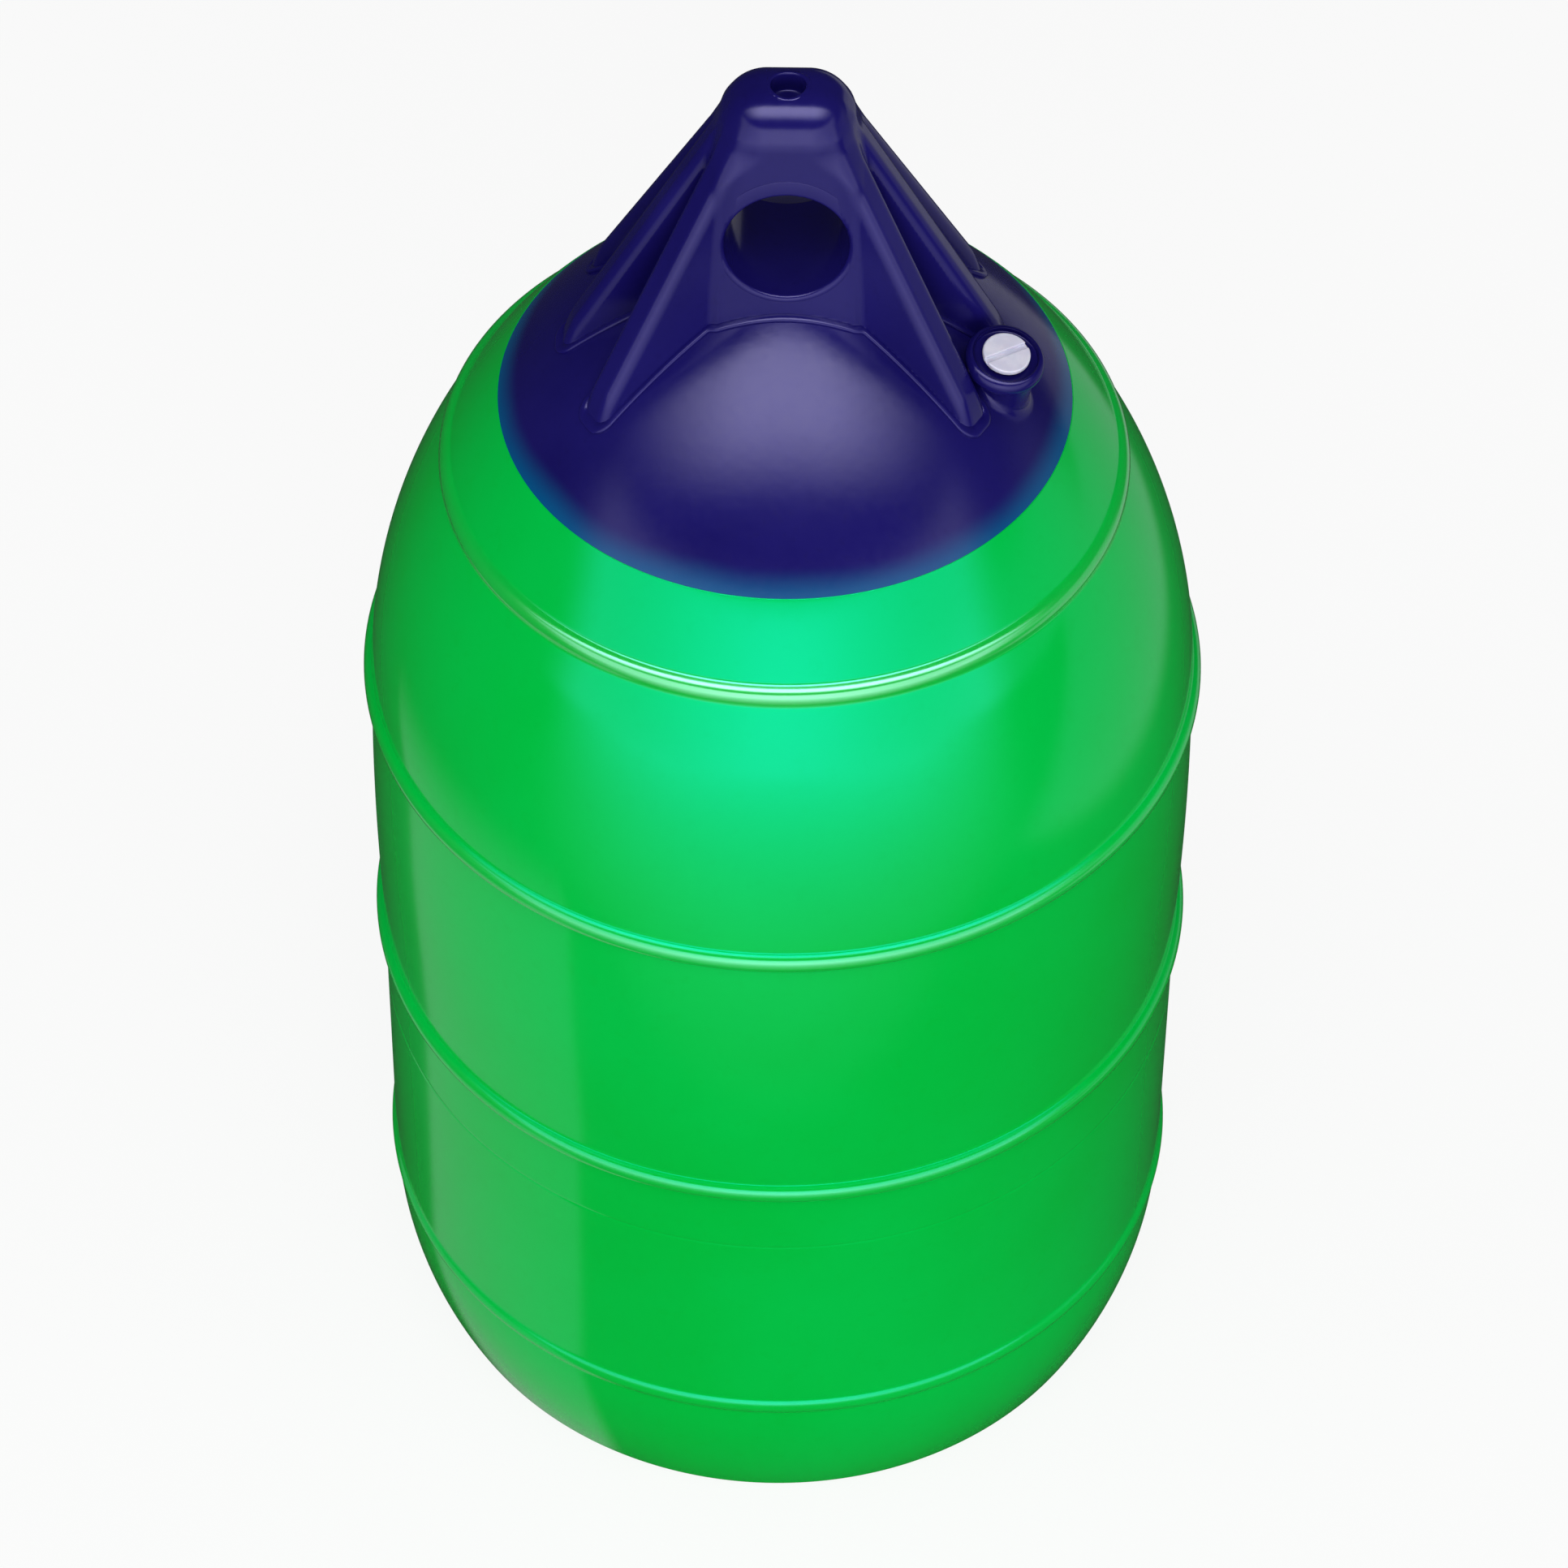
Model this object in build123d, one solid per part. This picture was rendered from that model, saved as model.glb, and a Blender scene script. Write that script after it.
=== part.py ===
from build123d import *
import math
import os

# Inflatable low drag buoy: a torpedo shaped skin with a ribbed rope head and a screw plug valve.
# Millimetres. The origin lies on the long axis at the waterline, +Z points to the rope head,
# -Y is the front, and azimuths are measured from the front towards +X.

# Hull of revolution
hull_radius = 113.0
barrel_length = 193.0
shoulder_arc_radius = 165.0
draft = 68.0
skin_thickness = 3.0

# Moulded rings round the hull
ring_round_radius = 3.5
ring_stand = 2.2
ring_end_inset = 4.0
head_ring_rise = 83.0

# Head cap, which starts at the colour line
colour_line_rise = 104.0
cap_thickness = 6.0

# Rope hub, a drafted slab with its broad faces to front and back
hub_rise = 56.0
hub_root_depth = 30.0
crown_half_width = 16.8
crown_half_thickness = 13.0
hub_side_draft = 1.6
hub_face_draft = 5.0
crown_round = 11.0
crown_depth = 18.0
eye_radius = 16.1
eye_drop = 41.0
eye_floor = 2.5
eye_rim_round = 1.4
crown_hole_radius = 4.5
crown_hole_depth = 6.0

# Ribs that fan from the hub to the cap
rib_thickness = 9.6
rib_ridge_round = 3.6
rib_ridge_radius = 15.6
rib_ridge_drop = 8.0
rib_foot_radius = 60.0
rib_foot_height = 2.8
rib_foot_depth = 12.0
rib_foot_round = 5.0
rib_root = 6.0
rib_azimuths = {"front": 59.0, "middle": 90.0, "back": 121.0}

# Valve boss, whose axis leans a little outward and to the front
valve_azimuth = 74.0
valve_radius = 57.5
valve_height = 13.0
valve_tilt = 13.3
valve_tilt_azimuth = 40.0
rim_radius = 10.5
rim_thickness = 5.0
rim_round = 2.2
neck_radius = 7.0
neck_offset = 2.0
recess_radius = 8.5
recess_depth = 1.4
passage_radius = 1.5

# Screw plug and its sealing ring
shank_radius = 3.5
shank_length = 6.5
shank_clearance = 0.08
bore_end_gap = 0.5
head_radius = 6.3
head_height = 1.6
head_round = 0.5
seal_thickness = 0.8
seal_radius = 5.4
slot_width = 1.6
slot_depth = 1.1
slot_turn = 30.0

# Closeness that counts as touching when edges are picked by their place
touch = 0.01

# Turn that takes the hull's seam out of every rib's plane where the ribs are cut to it
seam_turn = 75.0

# Places that follow from the sizes above
barrel_low = hull_radius - draft
barrel_top = barrel_low + barrel_length
arc_centre_offset = shoulder_arc_radius - hull_radius
dome_tip = barrel_top + math.sqrt(shoulder_arc_radius**2 - arc_centre_offset**2)
colour_line = barrel_top + colour_line_rise
hub_top = dome_tip + hub_rise
eye_height = hub_top - eye_drop
hub_seat = eye_height - eye_radius - eye_floor
big = 4 * hull_radius


def dome_height(radius):
    """Height of the shoulder's outer surface at a radius from the axis."""
    across = radius + arc_centre_offset
    return barrel_top + math.sqrt(shoulder_arc_radius**2 - across**2)


def surface_point(height):
    """Outer surface point (radius, height) at a height and its outward direction in the profile."""
    rise = height - barrel_top
    if rise <= 0:
        return hull_radius, height, 1.0, 0.0
    across = math.sqrt(shoulder_arc_radius**2 - rise**2)
    return across - arc_centre_offset, height, across / shoulder_arc_radius, rise / shoulder_arc_radius


def hull_solid(inset):
    """Solid of revolution of the hull, set in from its outer surface by a distance."""
    radius = hull_radius - inset
    arc_radius = shoulder_arc_radius - inset
    tip = math.sqrt(arc_radius**2 - arc_centre_offset**2)
    tip_angle = math.degrees(math.atan2(tip, arc_centre_offset))
    bottom = CenterArc((0, barrel_low), radius, -90, 90)
    side = Line((radius, barrel_low), (radius, barrel_top))
    shoulder = CenterArc((-arc_centre_offset, barrel_top), arc_radius, 0, tip_angle)
    axis_line = Line((0, barrel_top + tip), (0, barrel_low - radius))
    profile = make_face(bottom + side + shoulder + axis_line)
    return revolve(Plane.XZ * profile, Axis.Z)


def ring_solid(height):
    """Round moulded ring whose crest stands out of the hull's surface."""
    radius, level, out, up = surface_point(height)
    sunk = ring_round_radius - ring_stand
    section = Pos(radius - sunk * out, level - sunk * up) * Circle(ring_round_radius)
    return revolve(Plane.XZ * section, Axis.Z)


def slab_outline(half_top, draft_angle):
    """Drafted outline with its top edge at zero height."""
    depth = hub_rise + hub_root_depth
    half_low = half_top + depth * math.tan(math.radians(draft_angle))
    return make_face(Polyline((-half_low, -depth), (half_low, -depth), (half_top, 0), (-half_top, 0), close=True))


def hub_blank():
    """Hub without its holes: a drafted slab, and a crown on it that is rounded on every side."""
    front = extrude(Plane.XZ * slab_outline(crown_half_width, hub_side_draft), big, both=True)
    side = extrude(Plane.YZ * slab_outline(crown_half_thickness, hub_face_draft), big, both=True)
    block = front & side
    upright, top = block.edges().group_by(Axis.Z)[1:]
    crown = fillet(upright + top, crown_round)
    upper = Pos(0, 0, big / 2 - crown_depth) * Box(big, big, big)
    return Pos(0, 0, hub_top) * ((crown & upper) + (block - upper))


def rope_hub(blank, hull):
    """Hub on its flat seat, with the rope eye from front to back and a blind hole in its crown."""
    eye = Pos(0, 0, eye_height) * Rot(90, 0, 0) * Cylinder(eye_radius, big)
    hub = blank - hull - eye
    rims = hub.edges().filter_by(lambda edge: on_eye_rim(edge))
    hub = fillet(rims, eye_rim_round)
    hole = Pos(0, 0, hub_top) * Cylinder(crown_hole_radius, 2 * crown_hole_depth)
    return hub - hole


def on_eye_rim(edge):
    """True for an edge that runs all round the rope eye's mouth."""
    offsets = [point - Vector(0, point.Y, eye_height) for point in (edge @ 0.1, edge @ 0.4, edge @ 0.7)]
    return all(abs(offset.length - eye_radius) < touch for offset in offsets) and edge.length > 3 * eye_radius


def rib_blank(azimuth):
    """Upright plate in a radial plane, with a straight sloping ridge and a blunt rounded foot."""
    ridge_top = hub_top - rib_ridge_drop
    foot_top = dome_height(rib_foot_radius) + rib_foot_height
    low = dome_height(rib_foot_radius) - rib_foot_depth
    slope = (ridge_top - foot_top) / (rib_foot_radius - rib_ridge_radius)
    root_top = ridge_top + slope * (rib_ridge_radius - rib_root)
    outline = make_face(
        Polyline((rib_root, low), (rib_root, root_top), (rib_foot_radius, foot_top), (rib_foot_radius, low), close=True)
    )
    foot_corner = outline.vertices().sort_by(Axis.X)[-2:].sort_by(Axis.Y)[-1]
    outline = fillet(foot_corner, rib_foot_round)
    plate = extrude(Plane.XZ * outline, rib_thickness / 2, both=True)
    crest = [edge for edge in plate.edges() if on_rib_crest(edge, low)]
    plate = fillet(crest, rib_ridge_round)
    keep = Pos(0, 0, ridge_top - big / 2) * Box(big, big, big)
    return Rot(0, 0, azimuth - 90) * (plate & keep)


def on_rib_crest(edge, low):
    """True for the long edges of a rib's ridge and foot, on both of its sides."""
    middle = edge @ 0.5
    beside = abs(abs(middle.Y) - rib_thickness / 2) < touch
    return beside and middle.X > rib_root + touch and middle.Z > low + touch


def make_ribs(hub, hull):
    """Six ribs by name. The middle pair is whole and its neighbours end against it."""
    ribs = {}
    for side, turn in (("right", 1), ("left", -1)):
        middle = rib_blank(turn * rib_azimuths["middle"]) - hub - hull
        ribs["rib_" + side] = middle
        for place in ("front", "back"):
            ribs["rib_" + place + "_" + side] = rib_blank(turn * rib_azimuths[place]) - hub - hull - middle
    return ribs


def valve_direction():
    """Unit direction of the valve's axis."""
    tilt = math.radians(valve_tilt)
    azimuth = math.radians(valve_tilt_azimuth)
    return Vector(math.sin(tilt) * math.sin(azimuth), -math.sin(tilt) * math.cos(azimuth), math.cos(tilt))


def valve_plane():
    """Plane of the boss's top face, its z along the valve's axis."""
    azimuth = math.radians(valve_azimuth)
    foot = Vector(
        valve_radius * math.sin(azimuth), -valve_radius * math.cos(azimuth), dome_height(valve_radius)
    )
    return Plane(origin=foot + valve_direction() * valve_height, x_dir=(1, 0, 0), z_dir=valve_direction())


def bore_depth():
    """Depth of the threaded bore's floor below the boss's top face."""
    return recess_depth - seal_thickness + shank_length + bore_end_gap


def valve_passage():
    """Air passage from the bore's floor into the hull."""
    length = 2 * (valve_height + cap_thickness)
    return valve_plane() * Pos(0, 0, -length / 2) * Cylinder(passage_radius, length)


def valve_boss(hull, rib):
    """Round headed boss on a short neck, with a shallow recess and a bore for the plug."""
    rim = Pos(0, 0, -rim_thickness / 2) * Cylinder(rim_radius, rim_thickness)
    rim = fillet(rim.edges().filter_by(GeomType.CIRCLE), rim_round)
    neck_length = valve_height + cap_thickness + neck_radius
    neck = Pos(neck_offset, 0, -rim_thickness / 2 - neck_length / 2) * Cylinder(neck_radius, neck_length)
    recess = Cylinder(recess_radius, 2 * recess_depth)
    bore = Cylinder(shank_radius + shank_clearance, 2 * bore_depth())
    boss = rim + neck - recess - bore
    return valve_plane() * boss - valve_passage() - hull - rib


def valve_seal():
    """Flat sealing ring between the boss and the plug's head."""
    ring = Cylinder(seal_radius, seal_thickness) - Cylinder(shank_radius + shank_clearance, seal_thickness)
    return valve_plane() * Pos(0, 0, seal_thickness / 2 - recess_depth) * ring


def valve_plug():
    """Screw plug: a flat head with a slot across it, on a plain shank."""
    head = Pos(0, 0, head_height / 2) * Cylinder(head_radius, head_height)
    head = fillet(head.edges().filter_by(GeomType.CIRCLE).sort_by(Axis.Z)[-1], head_round)
    shank = Pos(0, 0, -shank_length / 2) * Cylinder(shank_radius, shank_length)
    slot = Rot(0, 0, slot_turn) * Pos(0, 0, head_height) * Box(3 * head_radius, slot_width, 2 * slot_depth)
    return valve_plane() * Pos(0, 0, seal_thickness - recess_depth) * (head + shank - slot)


def build():
    """All pieces by node name. The hull's tip is cut flat as the hub's seat, under the rope eye."""
    body = hull_solid(0)
    hull = body & Pos(0, 0, hub_seat - big) * Box(big, big, 2 * big)
    below_line = Pos(0, 0, colour_line - big) * Box(big, big, 2 * big)
    for height in (barrel_low + ring_end_inset, (barrel_low + barrel_top) / 2 + ring_end_inset,
                   barrel_top + ring_end_inset, barrel_top + head_ring_rise):
        body = body + ring_solid(height)
    blank = hub_blank()
    ribs = make_ribs(blank, Rot(0, 0, seam_turn) * hull)
    pieces = {
        "body_shell": (body - hull_solid(skin_thickness)) & below_line,
        "head_cap": hull - hull_solid(cap_thickness) - below_line - valve_passage(),
        "rope_hub": rope_hub(blank, hull),
        "valve_boss": valve_boss(hull, ribs["rib_front_right"]),
        "valve_seal": valve_seal(),
        "valve_plug": valve_plug(),
    }
    pieces.update(ribs)
    return pieces


os.makedirs("parts", exist_ok=True)
for name, piece in build().items():
    export_step(piece, "parts/" + name + ".step")
    print(name, "volume", round(piece.volume))
plane = valve_plane()
print("valve centre", [round(value, 3) for value in plane.origin])
print("valve axis", [round(value, 5) for value in plane.z_dir])
print("eye height", round(eye_height, 3), "colour line", round(colour_line, 3))
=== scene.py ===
import math

import bmesh
import bpy
import numpy as np
from mathutils import Matrix, Vector


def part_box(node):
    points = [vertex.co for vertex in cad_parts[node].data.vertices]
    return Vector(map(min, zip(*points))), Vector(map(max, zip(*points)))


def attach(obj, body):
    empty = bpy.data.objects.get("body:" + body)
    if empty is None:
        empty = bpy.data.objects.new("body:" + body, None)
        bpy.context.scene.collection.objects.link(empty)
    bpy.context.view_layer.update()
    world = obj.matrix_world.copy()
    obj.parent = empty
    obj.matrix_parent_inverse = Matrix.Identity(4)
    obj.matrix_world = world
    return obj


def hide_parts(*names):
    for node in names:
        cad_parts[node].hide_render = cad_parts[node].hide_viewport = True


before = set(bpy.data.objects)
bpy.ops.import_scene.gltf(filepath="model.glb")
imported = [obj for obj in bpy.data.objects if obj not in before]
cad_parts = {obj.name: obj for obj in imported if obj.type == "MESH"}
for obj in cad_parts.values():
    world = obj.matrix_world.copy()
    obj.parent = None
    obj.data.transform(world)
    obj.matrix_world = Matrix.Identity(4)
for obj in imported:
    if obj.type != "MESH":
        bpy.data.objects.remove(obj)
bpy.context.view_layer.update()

# Sizes in millimetres, in the buoy's own frame: the origin is on the long axis at the waterline,
# +Z points to the rope head and -Y is the front.
METRE = 0.001

# Hull skin, with its rings from the lowest up
HULL_RADIUS = 113.0
RING_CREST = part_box("body_shell")[1].x / METRE
RING_STANDS = (0.5, 1.0, 1.0, 0.62)
RING_ROUND = 3.5
RING_ROOT = 0.3
RING_POLISH = (0.12, 0.35, 0.6, 1.0)
POLISH_FULL = 1.2
POLISH_END = 3.2
BARREL_SWELL = 0.9
SHOULDER_ARC = 165.0
HULL_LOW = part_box("body_shell")[0].z / METRE
COLOUR_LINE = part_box("head_cap")[0].z / METRE
HUB_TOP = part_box("rope_hub")[1].z / METRE
DOME_DROP = 56.0
DOME_TIP = HUB_TOP - DOME_DROP
ARC_OFFSET = SHOULDER_ARC - HULL_RADIUS
BARREL_TOP = DOME_TIP - math.sqrt(SHOULDER_ARC**2 - ARC_OFFSET**2)
BARREL_LOW = HULL_LOW + HULL_RADIUS
RING_INSET = 4.0
HEAD_RING_RISE = 83.0
SKIN = 3.0
RING_SPREAD = np.linspace(-5.0, 5.0, 33)
PARTING_DROP = 24.0
PARTING_DEPTH = 0.12
PARTING_WIDTH = 0.35
TOP_EDGE = 1.0
TOP_EDGE_DROP = 0.1
TOP_EDGE_WIDTH = 0.2
OUTER_ROWS = 150
INNER_ROWS = 60
HULL_STEPS = 256

# Hub with its rope eye and the socket in its crown
CROWN_HALF_WIDTH = 16.8
CROWN_HALF_THICKNESS = 13.0
HUB_SIDE_DRAFT = math.radians(1.6)
HUB_FACE_DRAFT = math.radians(5.0)
CROWN_ROUND = 11.5
CROWN_ROUND_END = 24.0
HUB_EDGE_ROUND = 1.6
EYE_RADIUS = 16.1
EYE_DROP = 41.0
EYE_HEIGHT = HUB_TOP - EYE_DROP
EYE_SLACK = 0.2
EYE_STEPS = 220
EYE_RIM_ROUND = 1.1
LAND_RADIUS = 18.4
LAND_RISE = 2.5
LAND_PROUD = 0.14
CROWN_HOLE_RADIUS = 4.5
CROWN_HOLE_DEPTH = 6.0
CROWN_HOLE_SLACK = 0.35
CROWN_FLOOR_SLACK = 0.6
CROWN_HOLE_EDGE = 0.5
SOCKET_RIM = 0.7
SOCKET_CORNER = 0.8
SOCKET_STEPS = 96

# Ribs, the corners where they meet the hub and the cap, and the bead round their foot
RIB_THICKNESS = 9.6
RIB_DRAFT = math.radians(1.5)
RIB_RIDGE_ROUND = 3.2
RIB_RIDGE_RADIUS = 15.6
RIB_RIDGE_DROP = 8.0
RIB_RIDGE_TOP = HUB_TOP - RIB_RIDGE_DROP
RIB_TOP_RISE = 1.0
RIB_TOP_ROUND = 2.0
RIB_DRAFT_REACH = 60.0
RIB_FOOT_RADIUS = 60.0
RIB_FOOT_HEIGHT = 2.8
RIB_FOOT_ROUND = 5.0
RIB_AZIMUTHS = (59.0, 90.0, 121.0, -59.0, -90.0, -121.0)
VALLEY_ROUND = 2.4
FOOT_BLEND = 0.9
BEAD_REACH = 1.4
BEAD_HEIGHT = 0.8
BEAD_STEPS = 1600
CAP_INSET = 0.12
CAP_LAP = 4.0
HEAD_REACH = 84.0
HEAD_GRID = 0.95

# Valve: boss on its neck, seal and slotted screw plug
VALVE_AZIMUTH = math.radians(74.0)
VALVE_RADIUS = 57.5
VALVE_HEIGHT = 13.0
VALVE_TILT = math.radians(13.3)
VALVE_TILT_AZIMUTH = math.radians(40.0)
RIM_RADIUS = 10.5
RIM_THICKNESS = 5.0
RIM_ROUND = 2.2
NECK_RADIUS = 7.0
NECK_OFFSET = 2.0
NECK_BLEND = 2.2
NECK_TOP_SHARE = 0.6
NECK_TOP_ROUND = 1.0
NECK_REACH = 40.0
VALVE_STEPS = 160
RECESS_RADIUS = 8.5
RECESS_DEPTH = 1.4
SHANK_RADIUS = 3.5
SHANK_LENGTH = 6.5
SHANK_CLEARANCE = 0.08
BORE_END_GAP = 0.5
PASSAGE_RADIUS = 1.5
PLUG_RADIUS = 6.3
PLUG_HEIGHT = 1.6
PLUG_EDGE_ROUND = 0.45
PLUG_GRID = 0.16
SEAL_THICKNESS = 0.8
SLOT_WIDTH = 1.6
SLOT_DEPTH = 1.1
SLOT_BOW = 0.01
SLOT_EDGE_ROUND = 0.25
SLOT_TURN = math.radians(30.0)
THREAD_PITCH = 3.0
THREAD_DEPTH = 0.45

# Rounds in which the net's vertices slide onto its surface
SLIDE_ROUNDS = 4

# Brightness of the studio in gloss, and of its room in diffuse light, where white is one
DIM_GLOSS = 0.03
SECTOR_GLOSS = 0.3
FRONT_GLOSS = 3.6
HIGH_GLOSS = 10.0
RIGHT_GLOSS = 0.4
ROOM_LIGHT = 0.36

# Floor: grey of its matt part, share of it that the camera sees as plain white, the point and the
# normal of each edge of the lighter sector, and where the front part starts, in metres
FLOOR_GREY = 0.85
FLOOR_HALF = 6.0
FLOOR_GLOW = 0.88
SECTOR_EDGES = (((-0.0565, -0.0979), (-0.5, 0.866)), ((-0.1007, -0.0513), (-0.588, -0.809)))
SECTOR_BLUR = 0.004
FRONT_START = 0.25

# Lamps: name, place in metres, width, height and power in watts. All face the same point.
LAMP_TARGET = (0, 0, 0.25)
LAMPS = (
    ("overhead_box", (0.0, -0.9, 1.9), 1.3, 0.9, 12),
    ("front_box", (0.1, -2.4, 0.9), 1.2, 1.0, 24.5),
    ("left_box", (-2.1, -0.6, 0.9), 1.0, 1.6, 8),
    ("right_box", (2.2, -0.9, 1.2), 0.8, 1.2, 8),
)

# Camera: its place and the point that it looks at, whose heights count from a plane near the
# second ring from the top
CAMERA_LENS = 154.93
CAMERA_ROLL = 0.0108
CAMERA_SIDE = 0.81
CAMERA_BACK = 1281.0
CAMERA_RISE = 1345.7
TARGET_DROP = 54.1
CAMERA_PLANE = BARREL_TOP + 4.6


# Distance fields. Each is negative inside and grows with the distance from the surface, in mm.

def round_cut(a, b, radius):
    """Both solids at once, with the edge where their surfaces meet rounded to a radius."""
    u = np.maximum(a + radius, 0)
    v = np.maximum(b + radius, 0)
    return np.minimum(np.maximum(a, b), -radius) + np.hypot(u, v)


def round_join(a, b, radius):
    """Either solid, with the corner where their surfaces meet filled to a radius."""
    u = np.maximum(radius - a, 0)
    v = np.maximum(radius - b, 0)
    return np.maximum(np.minimum(a, b), radius) - np.hypot(u, v)


def dome_height(radius):
    """Height of the shoulder arc at a radius from the long axis."""
    return BARREL_TOP + math.sqrt(SHOULDER_ARC**2 - (radius + ARC_OFFSET) ** 2)


def dome_field(x, y, z):
    """Distance from the shoulder arc turned round the long axis."""
    across = np.hypot(x, y) + ARC_OFFSET
    return np.hypot(across, z - BARREL_TOP) - SHOULDER_ARC


def hub_field(x, y, z):
    """A slab between two drafted pairs of planes and a flat top. Its edges are rounded like a
    block's, by the length of the outward parts of the three plane distances, and the round shrinks
    below the crown."""
    drop = HUB_TOP - z
    fade = np.clip((drop - CROWN_ROUND) / (CROWN_ROUND_END - CROWN_ROUND), 0, 1)
    radius = CROWN_ROUND + (HUB_EDGE_ROUND - CROWN_ROUND) * fade * fade * (3 - 2 * fade)
    side = np.abs(x) - CROWN_HALF_WIDTH - drop * math.tan(HUB_SIDE_DRAFT)
    side = side * math.cos(HUB_SIDE_DRAFT) + radius
    face = face_field(y, z) + radius
    top = radius - drop
    inner = np.minimum(np.maximum(np.maximum(side, face), top), 0)
    outer = np.maximum(side, 0) ** 2 + np.maximum(face, 0) ** 2 + np.maximum(top, 0) ** 2
    outer = np.sqrt(outer)
    return inner + outer - radius


def face_field(y, z):
    """Distance in front of the hub's drafted faces."""
    lean = (HUB_TOP - z) * math.tan(HUB_FACE_DRAFT)
    return (np.abs(y) - CROWN_HALF_THICKNESS - lean) * math.cos(HUB_FACE_DRAFT)


def rib_field(x, y, z, azimuth):
    """A drafted upright plate under a straight sloping ridge, with a blunt rounded foot."""
    turn = math.radians(azimuth)
    out = x * math.sin(turn) - y * math.cos(turn)
    aside = x * math.cos(turn) + y * math.sin(turn)
    foot_top = dome_height(RIB_FOOT_RADIUS) + RIB_FOOT_HEIGHT
    slope = math.atan2(RIB_RIDGE_TOP - foot_top, RIB_FOOT_RADIUS - RIB_RIDGE_RADIUS)
    ridge = (z - foot_top) * math.cos(slope) + (out - RIB_FOOT_RADIUS) * math.sin(slope)
    outline = round_cut(ridge, out - RIB_FOOT_RADIUS, RIB_FOOT_ROUND)
    half = RIB_THICKNESS / 2 + np.clip(-ridge, 0, RIB_DRAFT_REACH) * math.tan(RIB_DRAFT)
    plate = round_cut(outline, np.abs(aside) - half, RIB_RIDGE_ROUND)
    plate = np.maximum(plate, -out)
    return round_cut(plate, z - RIB_RIDGE_TOP - RIB_TOP_RISE, RIB_TOP_ROUND)


def valve_axes():
    """Origin of the valve's top face and its three directions, the last along the screw."""
    foot = np.array([VALVE_RADIUS * math.sin(VALVE_AZIMUTH),
                     -VALVE_RADIUS * math.cos(VALVE_AZIMUTH),
                     dome_height(VALVE_RADIUS)])
    lean = math.sin(VALVE_TILT)
    screw = np.array([lean * math.sin(VALVE_TILT_AZIMUTH), -lean * math.cos(VALVE_TILT_AZIMUTH),
                      math.cos(VALVE_TILT)])
    right = np.array([1.0, 0.0, 0.0]) - screw[0] * screw
    right = right / np.linalg.norm(right)
    return foot + VALVE_HEIGHT * screw, right, np.cross(screw, right), screw


def to_valve(x, y, z):
    """Coordinates in the valve's own axes."""
    origin, right, ahead, screw = valve_axes()
    offset = (x - origin[0], y - origin[1], z - origin[2])
    return tuple(sum(o * a for o, a in zip(offset, axis)) for axis in (right, ahead, screw))


def spread_field(x, y, z):
    """The hub and its six ribs, with small hollow corners between them."""
    spread = hub_field(x, y, z)
    for azimuth in RIB_AZIMUTHS:
        spread = round_join(spread, rib_field(x, y, z, azimuth), VALLEY_ROUND)
    return spread


def head_field(x, y, z):
    """The rope head: cap, hub, six ribs and the valve's neck, joined with moulded corners. The eye
    and the crown's hole are a little wide, as pieces of their own line them."""
    head = round_join(dome_field(x, y, z) + CAP_INSET, spread_field(x, y, z), FOOT_BLEND)
    right, ahead, up = to_valve(x, y, z)
    neck = round_cut(np.hypot(right - NECK_OFFSET, ahead) - NECK_RADIUS,
                     up + RIM_THICKNESS * NECK_TOP_SHARE, NECK_TOP_ROUND)
    head = round_join(head, np.maximum(neck, -up - NECK_REACH), NECK_BLEND)
    eye = np.hypot(x, z - EYE_HEIGHT) - EYE_RADIUS - EYE_SLACK
    head = round_cut(head, -eye, EYE_RIM_ROUND)
    hole = np.maximum(np.hypot(x, y) - CROWN_HOLE_RADIUS - CROWN_HOLE_SLACK,
                      HUB_TOP - CROWN_HOLE_DEPTH - CROWN_FLOOR_SLACK - z)
    head = round_cut(head, -hole, CROWN_HOLE_EDGE)
    return np.maximum(head, COLOUR_LINE - CAP_LAP - z)


def plug_field(x, y, z):
    """Screw plug in the valve's own axes: slotted head with soft edges on a threaded shank."""
    seat = SEAL_THICKNESS - RECESS_DEPTH
    radius = np.hypot(x, y)
    head = round_cut(radius - PLUG_RADIUS, np.maximum(z - seat - PLUG_HEIGHT, seat - z),
                     PLUG_EDGE_ROUND)
    along = x * math.cos(SLOT_TURN) + y * math.sin(SLOT_TURN)
    aside = -x * math.sin(SLOT_TURN) + y * math.cos(SLOT_TURN)
    floor = seat + PLUG_HEIGHT - SLOT_DEPTH + SLOT_BOW * along**2
    slot = np.maximum(np.abs(aside) - SLOT_WIDTH / 2, floor - z)
    head = round_cut(head, -slot, SLOT_EDGE_ROUND)
    turn = np.arctan2(y, x) / (2 * math.pi)
    wave = np.abs((z / THREAD_PITCH - turn) % 1.0 - 0.5) * 2
    shank = np.maximum(radius - SHANK_RADIUS + THREAD_DEPTH * wave, seat - SHANK_LENGTH - z)
    shank = round_cut(shank, z - seat - 0.5, 0.1)
    return np.minimum(head, shank)


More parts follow.
